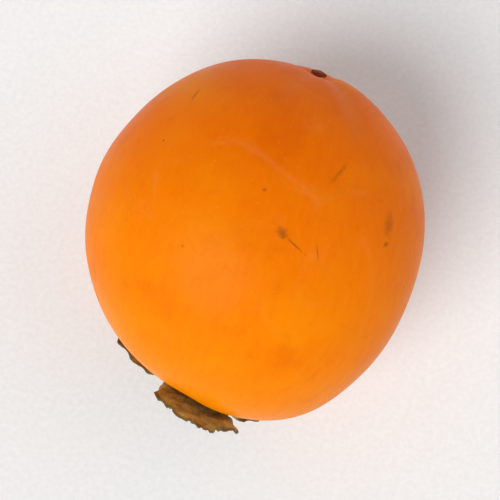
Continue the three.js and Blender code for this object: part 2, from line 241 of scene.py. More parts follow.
SWELL_WAVES = 14  # how many sines each random swell is the sum of
RAGGED_WAVES = 7  # and each ragged wave round a turn

# Small steps for normals, in radians of turn with places along an outline or with millimetres.
SKIN_STEPS = (0.004, 0.01)
BLADE_STEPS = (0.004, 0.05)
POLE_GUARD = 0.02  # normals at the fruit's two ends are taken this far along the outline from them
CENTRE_GUARD = 0.06  # and those at the calyx's middle this far out


# ------------------------------------------------ curves and waves

def bump(x):
    """1 at x = 0 and falling off as exp(-x squared) on both sides."""
    return np.exp(-x * x)


def smoothstep(x, start, end):
    """0 up to start, 1 from end, and 3f² - 2f³ of the share f between them."""
    f = np.clip((x - start) / (end - start), 0, 1)
    return f * f * (3 - 2 * f)


def mix(a, b, share):
    """a where share is 0, b where it is 1, and in proportion between."""
    return a + (b - a) * share


def angle_between(a, b):
    """The angle from b to a, between minus half a turn and half a turn."""
    return np.arctan2(np.sin(a - b), np.cos(a - b))


def waves(rows, turn):
    """Sum of height * sin(count * turn + phase) over rows of (height, count, phase)."""
    return sum(height * np.sin(count * turn + phase) for height, count, phase in rows)


def spline(points, places):
    """(radius, station) at each place of a uniform cubic B-spline over control points.

    The points are mirrored in the axis before the first one. After the last one they are mirrored
    if it lies on the axis too, and carried straight on if it doesn't.
    """
    points = np.array(points, float)
    mirror = np.array((-1, 1))
    on_axis = points[-1, 0] == 0
    beyond = points[-2] * mirror if on_axis else 2 * points[-1] - points[-2]
    control = np.vstack([points[1] * mirror, points, beyond])
    start = np.clip(np.floor(places).astype(int), 0, len(points) - 2)
    f = places - start
    weights = (
        (1 - f) ** 3,
        3 * f ** 3 - 6 * f ** 2 + 4,
        -3 * f ** 3 + 3 * f ** 2 + 3 * f + 1,
        f ** 3,
    )
    found = sum(w[..., None] * control[start + k] for k, w in enumerate(weights)) / 6
    return found[..., 0], found[..., 1]


def random_swells(points, size, seed):
    """A smooth random field, about -1 to 1: the sum of sines along random directions.

    Their wavelengths lie between size and twice size.
    """
    draw = np.random.default_rng(seed)
    directions = draw.normal(size=(SWELL_WAVES, 3))
    directions /= np.linalg.norm(directions, axis=1, keepdims=True)
    lengths = size * draw.uniform(1, 2, SWELL_WAVES)
    phases = draw.uniform(0, TURN, SWELL_WAVES)
    angles = points @ (directions * (TURN / lengths)[:, None]).T + phases
    return np.sin(angles).sum(-1) / math.sqrt(SWELL_WAVES)


def ragged(turn, count, seed):
    """An uneven wave round a full turn, about -1 to 1: sines of whole numbers near count."""
    draw = np.random.default_rng(seed)
    numbers = draw.integers(int(0.6 * count), int(1.5 * count), RAGGED_WAVES)
    phases = draw.uniform(0, TURN, RAGGED_WAVES)
    return sum(np.sin(n * turn + p) for n, p in zip(numbers, phases)) / math.sqrt(RAGGED_WAVES)


def ragged_folds(turn, count, seed):
    """Folds side by side round a full turn, from 0 on a crest to 1 in a fold."""
    return (0.5 + 0.5 * ragged(turn, count, seed)).clip(0, 1)


# ------------------------------------------------ the fruit's surface

def fruit_point(turn, place):
    """The skin: the outline swung round the axis.

    Its radius is swelled by corners, an oval and a slow wander, and cut by four furrows. The axis
    bows, the calyx end slopes back towards one side, and the apex is dimpled.
    """
    radius, station = spline(FRUIT_OUTLINE, place)
    share = place / OUTLINE_END
    body = np.sin(np.pi * share)
    corners = -SQUARENESS * np.cos(4 * turn)
    oval = OVALNESS * np.cos(2 * (turn - OVAL_TURN))
    wander = WANDER * np.cos(3 * turn + WANDER_TWIST * share)
    furrows = ((1 + np.cos(4 * turn)) / 2) ** FURROW_SHARPNESS
    furrow = FURROW_DEPTH * furrows * bump((share - FURROW_SHARE) / FURROW_SPREAD)
    r = radius * (1 + body * (corners + oval + wander)) - furrow
    pucker = np.where(share > 0.5, PUCKER_DEPTH * bump(radius / PUCKER_RADIUS), 0)
    x = r * np.sin(turn) + BOW * body ** 2 + APEX_LEAN * share ** 3
    oblique = OBLIQUENESS * (1 - smoothstep(share, *OBLIQUE_UNTIL))
    return np.stack([x, station - pucker - oblique * x, r * np.cos(turn)], -1)


def surface_normal(point_at, first, second, steps):
    """Unit normals of a surface: the cross product of small steps along its two parameters."""
    a, b = steps
    along_first = point_at(first + a, second) - point_at(first - a, second)
    along_second = point_at(first, second + b) - point_at(first, second - b)
    normal = np.cross(along_first, along_second)
    length = np.linalg.norm(normal, axis=-1, keepdims=True)
    return normal / np.maximum(length, 1e-9)


def crease_relief(turn, place):
    """Depth in millimetres of the creases near the apex.

    Each is a bump across the distance from its own turn, which sways a little. It grows from the
    share where the crease begins and dies away again in the dimple.
    """
    radius, _ = spline(FRUIT_OUTLINE, place)
    share = place / OUTLINE_END
    outside_dimple = 1 - bump(radius / CREASE_ENDS_AT)
    depth = np.zeros_like(turn)
    for at, begin, deep, width in CREASES:
        sway = CREASE_SWAY * np.sin(CREASE_SWAY_RATE * share + at)
        aside = angle_between(turn, math.radians(at)) * radius - sway
        along = smoothstep(share, begin, begin + CREASE_FADE) * outside_dimple
        depth = depth + deep * along * bump(aside / width)
    return depth


def skin_point(turn, place):
    """The fine skin: the fruit's surface, set in by INSET and by shallow relief.

    The relief is soft unevenness, folds that run into the apex, folds round the calyx end, and
    creases.
    """
    base = fruit_point(turn, place)
    inner = np.clip(place, POLE_GUARD, OUTLINE_END - POLE_GUARD)
    outward = surface_normal(fruit_point, turn, inner, SKIN_STEPS)
    radius, _ = spline(FRUIT_OUTLINE, place)
    share = place / OUTLINE_END
    uneven = SKIN_SWELL * (1 + random_swells(base, SKIN_SWELL_SIZE, SKIN_SEED))
    apex = np.where(share > 0.5, bump((radius - APEX_FOLD_RADIUS) / APEX_FOLD_SPREAD), 0)
    apex_folds = APEX_FOLD_DEPTH * apex * ragged_folds(turn, APEX_FOLD_COUNT, APEX_FOLD_SEED)
    rim = np.where(share < 0.5, bump((radius - RIM_FOLD_RADIUS) / RIM_FOLD_SPREAD), 0)
    rim_folds = RIM_FOLD_DEPTH * rim * ragged_folds(turn, RIM_FOLD_COUNT, RIM_FOLD_SEED)
    depth = INSET + uneven + apex_folds + rim_folds + crease_relief(turn, place)
    return base - outward * depth[..., None]


# ------------------------------------------------ laying the fruit down

def raise_apex(points):
    """Turns points about the x axis so that the +y end comes up by APEX_RAISED."""
    c, s = math.cos(APEX_RAISED), math.sin(APEX_RAISED)
    x, y, z = points[..., 0], points[..., 1], points[..., 2]
    return np.stack([x, c * y - s * z, s * y + c * z], -1)


def find_flat_spot():
    """The lowest point of the underside once the apex is raised."""
    places = np.linspace(0, OUTLINE_END, 4001)
    underside = raise_apex(fruit_point(np.full_like(places, np.pi), places))
    return underside[underside[:, 2].argmin()]


FLAT_SPOT = find_flat_spot()
REST_SHIFT = np.array((-FLAT_SPOT[0], -FLAT_SPOT[1], -FLAT_SPOT[2] - FLAT_DEPTH))


def lay_down(points):
    """Fruit axes in millimetres to the frame's metres, resting on the flat spot."""
    return (raise_apex(points) + REST_SHIFT) * MM


# ------------------------------------------------ the calyx's surfaces

def lobe_at(turn):
    """Which lobe a turn falls in, and how far across it from -1 to 1."""
    away = angle_between(turn[..., None], LOBE_TURN)
    lobe = np.abs(away).argmin(-1)
    across = np.take_along_axis(away, lobe[..., None], -1)[..., 0] / LOBE_HALF_ANGLE
    return lobe, np.clip(across, -1, 1)


def lobe_mix(turn, values):
    """A smooth mix, at a turn, of a value that each lobe has, weighted by bumps at the lobes."""
    weights = bump(angle_between(turn[..., None], LOBE_TURN) / LOBE_MIX_ANGLE)
    return (weights * values).sum(-1) / weights.sum(-1)


def blade_reach(turn):
    """Length along the blade to the margin, as in the solid.

    From the cleft it rises with the fullness (1 - |across|^n)^m of a lobe to the lobe's reach, with
    a point at the tip, waves and torn nicks.
    """
    lobe, across = lobe_at(turn)
    skewed = across + LOBE_SKEW[lobe] * (1 - across ** 2)
    fullness = (1 - np.abs(skewed) ** LOBE_ROUNDNESS) ** LOBE_FULLNESS
    whole = SINUS_REACH + (LOBE_REACH[lobe] - SINUS_REACH) * fullness
    point = TIP_POINT * bump(skewed / TIP_POINT_WIDTH)
    torn = sum(
        depth * bump(angle_between(turn, math.radians(at)) / math.radians(width))
        for at, depth, width in NICKS
    )
    return np.maximum(whole + point + fullness * waves(MARGIN_WAVES, turn) - torn, SINUS_REACH)


def frayed_reach(turn):
    """The solid's reach, cut back by a ragged wave and by small torn notches at random turns."""
    draw = np.random.default_rng(TEAR_SEED)
    coarse = ragged(turn, FRAY_COUNT, FRAY_SEED)
    fine = ragged(turn, FINE_FRAY_COUNT, FINE_FRAY_SEED)
    worn = FRAY * (FRAY_MEAN + coarse + FINE_FRAY_SHARE * fine)
    tears = (draw.uniform(*limits, TEARS) for limits in ((0, TURN), TEAR_DEPTH, TEAR_WIDTH))
    for at, depth, width in zip(*tears):
        worn = worn + depth * bump(angle_between(turn, at) / math.radians(width)) ** 2
    reach = blade_reach(turn)
    return reach - worn.clip(0) * smoothstep(reach - SINUS_REACH, UNFRAYED_ROOM, FRAYED_ROOM)


def blade_point(turn, length):
    """Middle of the blade at a length from the centre: a mix of the closed and the open outline.

    The free part is lifted away from the fruit beside the clefts, along the curled margin and by
    broad swells, and lies oblique to the axis.
    """
    open_share = lobe_mix(turn, LOBE_OPEN)
    place = np.maximum(length, 0) / BLADE_STEP
    closed_radius, closed_station = spline(BLADE_CLOSED, place)
    open_radius, open_station = spline(BLADE_OPEN, place)
    radius = mix(closed_radius, open_radius, open_share)
    station = mix(closed_station, open_station, open_share)
    share = (length - BOSS_REACH) / (blade_reach(turn) - BOSS_REACH)
    edge = np.maximum(0, (share - CURL_FROM) / (1 - CURL_FROM))
    folded = CLEFT_LIFT * np.abs(lobe_at(turn)[1]) ** 4
    curled = MARGIN_CURL * edge ** 2
    swollen = np.maximum(0, share) * waves(SWELLS, turn)
    free = smoothstep(length, FREE_FROM, FREE_FULLY)
    lifted = free * lobe_mix(turn, LOBE_LOOSE) * (folded + curled + swollen)
    x = radius * np.sin(turn)
    return np.stack([x, station - lifted - OBLIQUENESS * x, radius * np.cos(turn)], -1)


def vein_relief(turn, length):
    """Height from 0 to 1 of the veins: fine ridges that fan out from the boss in each lobe.

    A main vein keeps to a share across its lobe that spreads a little towards the margin, and
    shorter side veins leave it on both sides at a slant.
    """
    lobe, across = lobe_at(turn)
    share = np.clip((length - BOSS_REACH) / (LOBE_REACH[lobe] - BOSS_REACH), 0, 1.1)
    millimetres = length * LOBE_HALF_ANGLE
    draw = np.random.default_rng(VEIN_SEED)
    fan, fan_growth = VEIN_FAN
    strongest, loss_sideways, loss_outwards = VEIN_STRENGTH
    relief = np.zeros_like(length)
    for k, at in enumerate(np.linspace(-VEIN_SPREAD, VEIN_SPREAD, VEINS_PER_LOBE)):
        shift = draw.uniform(-VEIN_JITTER, VEIN_JITTER, len(LOBE_TURN))[lobe]
        sway = VEIN_SWAY * np.sin(4 * share + 1.7 * k + 2.3 * lobe)
        aside = (across - (at + shift) * (fan + fan_growth * share) - sway) * millimetres
        strength = strongest - loss_sideways * abs(at) - loss_outwards * share
        relief = np.maximum(relief, strength * bump(aside / VEIN_WIDTH))
        moved = draw.uniform(-SIDE_VEIN_JITTER, SIDE_VEIN_JITTER)
        for start in np.arange(*SIDE_VEINS_BETWEEN, SIDE_VEIN_STEP) + moved:
            side = draw.choice((-1, 1))
            run = np.clip(length - start, 0, SIDE_VEIN_RUN)
            off = aside - side * run * draw.uniform(*SIDE_VEIN_SLANT)
            ending = 1 - smoothstep(run, SIDE_VEIN_FULL * SIDE_VEIN_RUN, SIDE_VEIN_RUN)
            fade = smoothstep(length, start, start + SIDE_VEIN_RISE) * ending
            relief = np.maximum(relief, SIDE_VEIN_HEIGHT * fade * bump(off / SIDE_VEIN_WIDTH))
    return relief * smoothstep(length, *VEINS_RISE_BETWEEN)


def calyx_point(turn, length, side):
    """The calyx's face on side 1, away from the fruit, or side -1, towards it.

    The blade thins from the boss to the margin. Veins stand out on the outer face, the dry blade is
    crumpled, and the boss carries a swollen ring with fine radial folds.
    """
    middle = blade_point(turn, length)
    outward = surface_normal(blade_point, turn, np.maximum(length, CENTRE_GUARD), BLADE_STEPS)
    boss = 1 / (1 + (length / BOSS_RADIUS) ** 8)
    share = np.clip((length - BOSS_REACH) / (frayed_reach(turn) - BOSS_REACH), 0, 1)
    blade = mix(BLADE_THICKNESS, MARGIN_THICKNESS, share ** 3)
    half = mix(blade, BOSS_THICKNESS, boss) / 2
    flat = np.stack([length * np.sin(turn), length * np.cos(turn), 0 * length], -1)
    coarse = random_swells(flat, CRUMPLE_SIZE, CRUMPLE_SEED)
    fine = random_swells(flat, FINE_CRUMPLE_SIZE, FINE_CRUMPLE_SEED)
    crumple = coarse + FINE_CRUMPLE_SHARE * fine
    crumpled = CRUMPLE * smoothstep(length, FREE_FROM, CRUMPLED_FULLY) * crumple
    crinkled = MARGIN_CRINKLE * share ** 2 * ragged(turn, CRINKLE_COUNT, CRINKLE_SEED)
    veins = VEIN_HEIGHT * vein_relief(turn, length)
    ring = RING_HEIGHT * bump((length - RING_RADIUS) / RING_WIDTH)
    folded = bump((length - BOSS_FOLD_RADIUS) / BOSS_FOLD_SPREAD)
    folds = BOSS_FOLD_HEIGHT * folded * ragged(turn, BOSS_FOLD_COUNT, BOSS_FOLD_SEED)
    outer = half + ring + folds + veins
    inner = -half - VEIN_SHOWS_INSIDE * veins
    height = crumpled + crinkled + (outer if side > 0 else inner)
    return middle + outward * height[..., None]


def calyx_length(turn, row_share):
    """Length along the blade at a share of the rows: equal on the boss, then up to the margin."""
    on_boss = BOSS_REACH * np.minimum(row_share / BOSS_SHARE, 1)
    beyond = np.maximum(row_share - BOSS_SHARE, 0) / (1 - BOSS_SHARE)
    return on_boss + beyond * (frayed_reach(turn) - BOSS_REACH)


# ------------------------------------------------ meshes

def ringed_grid(rows, columns):
    """Row and column shares of a ringed net: rows - 1 rings of columns points between two poles."""
    row = np.repeat(np.arange(1, rows), columns)
    column = np.tile(np.arange(columns), rows - 1)
    row = np.concatenate([[0], row, [rows]])
    column = np.concatenate([[0], column, [0]])
    return row / rows, column / columns


def ring_neighbours(columns):
    """The place of each point of a ring, and of the next one round it."""
    here = np.arange(columns)
    return here, (here + 1) % columns


def fan_faces(columns):
    """Triangles from point 0 to the ring that starts at point 1."""
    here, after = ring_neighbours(columns)
    return np.stack([np.zeros(columns, int), 1 + after, 1 + here], 1)


def ring_faces(rings, columns):
    """Quads between rings of columns points, the first of which starts at point 1."""
    here, after = ring_neighbours(columns)
    ring = 1 + np.arange(rings - 1)[:, None] * columns
    beyond = ring + columns
    return np.stack([ring + here, ring + after, beyond + after, beyond + here], -1).reshape(-1, 4)


def ringed_faces(rows, columns):
    """Faces of a ringed net as (triangles, quads): it closes at both poles and at the seam."""
    here, after = ring_neighbours(columns)
    end = 1 + (rows - 1) * columns
    last_ring = 1 + (rows - 2) * columns
    last_fan = np.stack([np.full(columns, end), last_ring + here, last_ring + after], 1)
    return np.vstack([fan_faces(columns), last_fan]), ring_faces(rows - 1, columns)


def mesh_piece(name, points, triangles, quads, body="root"):
    """A mesh object from arrays of points in metres, triangles and quads, smooth shaded."""
    mesh = bpy.data.meshes.new(name)
    corners = np.concatenate([triangles.ravel(), quads.ravel()])
    sizes = np.concatenate([np.full(len(triangles), 3), np.full(len(quads), 4)])
    starts = np.concatenate([[0], np.cumsum(sizes)[:-1]])
    mesh.vertices.add(len(points))
    mesh.vertices.foreach_set("co", points.astype(np.float32).ravel())
    mesh.loops.add(len(corners))
    mesh.loops.foreach_set("vertex_index", corners.astype(np.int32))
    mesh.polygons.add(len(sizes))
    mesh.polygons.foreach_set("loop_start", starts.astype(np.int32))
    mesh.polygons.foreach_set("use_smooth", np.ones(len(sizes), bool))
    mesh.update(calc_edges=True)
    mesh.validate()
    piece = bpy.data.objects.new(name, mesh)
    bpy.context.scene.collection.objects.link(piece)
    if body:
        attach(piece, body)
    return piece


def point_values(piece, name, values):
    """Stores one number for each point of a piece, for its material to read."""
    attribute = piece.data.attributes.new(name, "FLOAT", "POINT")
    attribute.data.foreach_set("value", np.asarray(values, np.float32))


def flat_coordinates(piece, u, v):
    """A UV map of the piece, from two numbers for each point."""
    corners = np.empty(len(piece.data.loops), np.int32)
    piece.data.loops.foreach_get("vertex_index", corners)
    layer = piece.data.uv_layers.new(name="flat")
    layer.data.foreach_set("uv", np.stack([u[corners], v[corners]], 1).astype(np.float32).ravel())


# ------------------------------------------------ the pieces

def make_fruit():
    """The fruit's skin: a ringed net over the fine skin, pressed level where it rests."""
    row, column = ringed_grid(SKIN_ROWS, SKIN_COLUMNS)
    points = lay_down(skin_point(TURN * column, OUTLINE_END * row))
    points[:, 2] = np.maximum(points[:, 2], 0)
    piece = mesh_piece("fruit_skin", points, *ringed_faces(SKIN_ROWS, SKIN_COLUMNS))
    point_values(piece, "share", row)
    deepest = max(depth for _, _, depth, _ in CREASES)
    point_values(piece, "crease", crease_relief(TURN * column, OUTLINE_END * row) / deepest)
    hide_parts("fruit")
    return piece


def make_calyx():
    """The calyx: out along the face away from the fruit, and back along the face towards it."""
    rows = 2 * CALYX_ROWS + 1
    row, column = ringed_grid(rows, CALYX_COLUMNS)
    step = np.rint(row * rows)
    outer = step <= CALYX_ROWS
    share = np.where(outer, step, rows - step) / CALYX_ROWS
    turn = TURN * column
    length = calyx_length(turn, share)
    outer_face, inner_face = (calyx_point(turn, length, side) for side in (1, -1))
    points = np.where(outer[:, None], outer_face, inner_face)
    piece = mesh_piece("calyx_lobes", lay_down(points), *ringed_faces(rows, CALYX_COLUMNS))
    point_values(piece, "from_margin", frayed_reach(turn) - length)
    point_values(piece, "vein", vein_relief(turn, length))
    point_values(piece, "outer", outer)
    point_values(piece, "centre", length)
    flat_coordinates(piece, length * np.sin(turn), length * np.cos(turn))
    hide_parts("calyx")
    return piece


def lathe(outline, share, side_share):
    """Radius and height of a small turned piece, and how far a point is across its end from 0 to 1.

    The outline takes up the first side_share of the rows. The rest go straight in to the middle.
    """
    outline = np.array(outline)
    knots = np.arange(len(outline))
    up = np.clip(share / side_share, 0, 1) * knots[-1]
    across_end = np.clip((share - side_share) / (1 - side_share), 0, 1)
    return np.interp(up, knots, outline[:, 0]), np.interp(up, knots, outline[:, 1]), across_end


def calyx_seat():
    """Station of the peduncle's foot: the boss's face at the foot's radius, less the clearance."""
    middle = blade_point(np.array([0.0]), np.array([PEDUNCLE_FOOT]))[0, 1]
    ring = RING_HEIGHT * bump((PEDUNCLE_FOOT - RING_RADIUS) / RING_WIDTH)
    return middle - BOSS_THICKNESS / 2 - ring - CLEARANCE


def peduncle_point(turn, share):
    """The stub: a lathed outline up to the slanting cut, then the cut face in to the middle.

    Bark ridges run up it, and the cut face is a little uneven. Its first point is sunk in the boss.
    """
    radius, height, on_cut = lathe(PEDUNCLE_OUTLINE, share, PEDUNCLE_SIDE)
    ridges = BARK_RIDGE * ragged(turn, BARK_RIDGE_COUNT, BARK_SEED)
    fine = FINE_BARK_RIDGE * ragged(turn + BARK_TWIST * height, FINE_BARK_COUNT, FINE_BARK_SEED)
    r = (radius + ridges + fine - BARK_INSET) * (1 - on_cut)
    rough = CUT_UNEVENNESS * ragged(turn, CUT_UNEVEN_COUNT, CUT_SEED) * on_cut * (1 - on_cut)
    height = height - PEDUNCLE_SUNK * (share <= 0) + rough + CUT_RIM * smoothstep(on_cut, 0, 0.2)
    x, z = r * np.sin(turn), r * np.cos(turn)
    cut = np.maximum(0, height - PEDUNCLE_CUT_FROM) / PEDUNCLE_CUT_FROM
    height = height + OBLIQUENESS * x + cut * PEDUNCLE_CUT_SLOPE * (x + z)
    return np.stack([x, calyx_seat() - height, z], -1)


def make_peduncle():
    """The clipped stub of the stalk, from inside the boss to its slanting cut."""
    row, column = ringed_grid(PEDUNCLE_ROWS, PEDUNCLE_COLUMNS)
    points = lay_down(peduncle_point(-TURN * column, row))
    piece = mesh_piece("peduncle_stub", points, *ringed_faces(PEDUNCLE_ROWS, PEDUNCLE_COLUMNS))
    point_values(piece, "along", row)
    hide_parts("peduncle")
    return piece


def apex_point():
    """The bottom of the dimple at the apex."""
    return fruit_point(np.array([0.0]), np.array([float(OUTLINE_END)]))[0]


def style_point(turn, share):
    """The dried style: a low, flattened and leaning stump with four shrivelled ridges."""
    radius, height, on_top = lathe(STYLE_OUTLINE, share, STYLE_SIDE)
    shrivelled = STYLE_SHRIVEL * ragged(turn, STYLE_SHRIVEL_COUNT, STYLE_SEED)
    r = radius * (1 + STYLE_RIDGES * np.cos(STYLE_RIDGE_COUNT * turn) + shrivelled) * (1 - on_top)
    height = height + STYLE_TOP_RISE * smoothstep(on_top, 0, 1)
    apex = apex_point()
    foot = apex[1] + CLEARANCE + PUCKER_DEPTH * (1 - bump(STYLE_FOOT / PUCKER_RADIUS))
    x = apex[0] + r * np.sin(turn) + STYLE_LEAN * np.maximum(height, 0) ** 1.5
    z = apex[2] + STYLE_FLATTENED * r * np.cos(turn)
    return np.stack([x, foot + height - STYLE_SUNK * (share <= 0), z], -1)


def make_style():
    """The dried style in the dimple at the apex."""
    row, column = ringed_grid(STYLE_ROWS, STYLE_COLUMNS)
    points = lay_down(style_point(TURN * column, row))
    piece = mesh_piece("dried_style", points, *ringed_faces(STYLE_ROWS, STYLE_COLUMNS))
    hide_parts("style_tip")
    return piece


# ------------------------------------------------ materials

def linear(red, green, blue):
    """A screen colour from 0 to 255 as the linear colour that the shader takes."""
    def one(value):
        value = value / 255
        return value / 12.92 if value <= 0.04045 else ((value + 0.055) / 1.055) ** 2.4
    return one(red), one(green), one(blue), 1


class Finish:
    """A material under construction, with short calls for the nodes that it is made of."""

    def __init__(self, name):
        self.material = bpy.data.materials.new(name)
        self.material.use_nodes = True
        self.tree = self.material.node_tree
        self.shader = self.tree.nodes["Principled BSDF"]

    def feed(self, socket, value):
        """Links a socket to another node's output, or sets it to a plain value."""
        if isinstance(value, bpy.types.NodeSocket):
            self.tree.links.new(value, socket)
        else:
            socket.default_value = value

    def node(self, kind, inputs=None, **settings):
        """A node of a kind, with its settings, and its inputs by name or number."""
        made = self.tree.nodes.new(kind)
        for key, value in settings.items():
            setattr(made, key, value)
        for key, value in (inputs or {}).items():
            self.feed(made.inputs[key], value)
        return made

    def math(self, operation, first, second=0.0):
        inputs = {0: first, 1: second}
        return self.node("ShaderNodeMath", inputs, operation=operation).outputs[0]

    def vector_math(self, operation, first, second=(0, 0, 0)):
        inputs = {0: first, 1: second}
        made = self.node("ShaderNodeVectorMath", inputs, operation=operation)
        return made.outputs["Value" if operation == "LENGTH" else "Vector"]

    def object_place(self):
        return self.node("ShaderNodeTexCoord").outputs["Object"]

    def flat_place(self):
        return self.node("ShaderNodeUVMap", uv_map="flat").outputs[0]

    def value_of(self, name):
        """The number that point_values() stored under a name."""
        return self.node("ShaderNodeAttribute", attribute_name=name).outputs["Fac"]

    def mapping(self, place, rotation=(0, 0, 0), scale=(1, 1, 1)):
        inputs = {"Vector": place, "Rotation": rotation, "Scale": scale}
        return self.node("ShaderNodeMapping", inputs).outputs[0]

    def noise(self, place, scale, detail=3, roughness=0.55, distortion=0):
        inputs = {
            "Vector": place, "Scale": scale, "Detail": detail, "Roughness": roughness,
            "Distortion": distortion,
        }
        return self.node("ShaderNodeTexNoise", inputs).outputs["Fac"]

    def cells(self, place, scale, feature="F1"):
        """Outputs of a pattern of random cells."""
        inputs = {"Vector": place, "Scale": scale}
        return self.node("ShaderNodeTexVoronoi", inputs, feature=feature).outputs

    def span(self, value, low, high, to_low=0.0, to_high=1.0):
        """Maps low to high smoothly onto to_low to to_high, held at both ends."""
        inputs = {
            "Value": value, "From Min": low, "From Max": high, "To Min": to_low, "To Max": to_high,
        }
        made = self.node("ShaderNodeMapRange", inputs, interpolation_type="SMOOTHSTEP")
        return made.outputs[0]

    def blend(self, share, first, second):
        """first where share is 0, second where it is 1."""
        inputs = {0: share, 6: first, 7: second}
        made = self.node("ShaderNodeMix", inputs, data_type="RGBA", clamp_factor=True)
        return made.outputs[2]

    def tint(self, ground, share, colour):
        """A screen colour laid over the ground by a share."""
        return self.blend(share, ground, linear(*colour))

    def ramp(self, value, stops):
        """A colour ramp through stops of (place, screen colour)."""
        made = self.node("ShaderNodeValToRGB", {0: value})
        made.color_ramp.interpolation = "EASE"
        while len(made.color_ramp.elements) < len(stops):
            made.color_ramp.elements.new(0.5)
        for element, (place, colour) in zip(made.color_ramp.elements, stops):
            element.position = place
            element.color = linear(*colour)
        return made.outputs["Color"]

    def bump(self, height, distance, strength, under=None):
        """A bumped normal, over another one if there is one under it."""
        inputs = {"Height": height, "Distance": distance, "Strength": strength}
        if under is not None:
            inputs["Normal"] = under
        return self.node("ShaderNodeBump", inputs).outputs[0]

    def set(self, **sockets):
        """Sets or links the shader's sockets by name, with _ for a space."""
        for name, value in sockets.items():
            self.feed(self.shader.inputs[name.replace("_", " ")], value)
        return self.material


def fruit_place(finish):
    """Object coordinates turned back into the fruit's own axes, in metres."""
    moved = finish.vector_math("ADD", finish.object_place(), tuple(-REST_SHIFT * MM))
    return finish.mapping(moved, rotation=(-APEX_RAISED, 0, 0))


def streak_place(finish, place, run):
    """Coordinates for streaks along the fruit: the direction from the axis, and run * station."""
    x, station, z = finish.node("ShaderNodeSeparateXYZ", {0: place}).outputs
    squares = finish.math("ADD", finish.math("MULTIPLY", x, x), finish.math("MULTIPLY", z, z))
    radius = finish.math("SQRT", squares)
    inputs = {
        0: finish.math("DIVIDE", x, radius),
        1: finish.math("MULTIPLY", station, run),
        2: finish.math("DIVIDE", z, radius),
    }
    return finish.node("ShaderNodeCombineXYZ", inputs).outputs[0]


def scuff_mask(finish, place, turn, share, length, width, heading, dark):
    """A rubbed mark: dark inside a small slanting ellipse on the skin, with a broken edge."""
    at = fruit_point(np.array([math.radians(turn)]), np.array([OUTLINE_END * share]))[0]
    moved = finish.vector_math("SUBTRACT", place, tuple(at * MM))
    level = finish.mapping(moved, rotation=(0, -math.radians(turn), 0))
    turned = finish.mapping(level, rotation=(0, 0, heading))
    sizes = np.array((length, width, length / SCUFF_THINNESS)) * MM
    away = finish.vector_math("LENGTH", finish.mapping(turned, scale=tuple(1 / sizes)))
    broken = finish.math("MULTIPLY", finish.noise(place, scale=1400, detail=2), 0.9)
    return finish.span(finish.math("ADD", away, broken), 0.45, 1.5, dark, 0)


def scar_and_shade_mask(finish, place):
    """A ragged dark oval at the apex: partly the scar round the style, partly painted shade in the
    dimple.
    """
    moved = finish.vector_math("SUBTRACT", place, tuple(apex_point() * MM))
    flattened = finish.mapping(moved, scale=(1, 1, 1 / STYLE_FLATTENED))
    away = finish.vector_math("LENGTH", flattened)
    radius = SCAR_AND_SHADE_RADIUS * MM
    torn = finish.math("MULTIPLY", finish.noise(place, scale=1300, detail=3), radius)
    return finish.span(finish.math("ADD", away, torn), 1.1 * radius, 1.9 * radius, 0.92, 0)


# Screen colours of the skin by share along the outline, and of what is laid over them.
SKIN_COLOURS = (
    (0.04, (240, 160, 12)),
    (0.2, (246, 144, 2)),
    (0.5, (243, 128, 0)),
    (0.78, (236, 111, 0)),
    (0.97, (224, 96, 1)),
)
STREAK_COLOUR = (226, 94, 1)
CLOUD_COLOUR = (250, 152, 6)
DUSKY_COLOUR = (212, 84, 2)
MOTTLE_COLOUR = (214, 92, 2)
BLOOM_COLOUR = (236, 150, 84)
CREASE_COLOUR = (226, 130, 66)
DOT_COLOUR = (250, 168, 52)
SPECK_COLOUR = (112, 56, 22)
SCUFF_COLOUR = (96, 54, 22)
# Partly the scar's own colour and partly painted shade in the dimple round the style.
SCAR_AND_SHADE_COLOUR = (126, 52, 18)


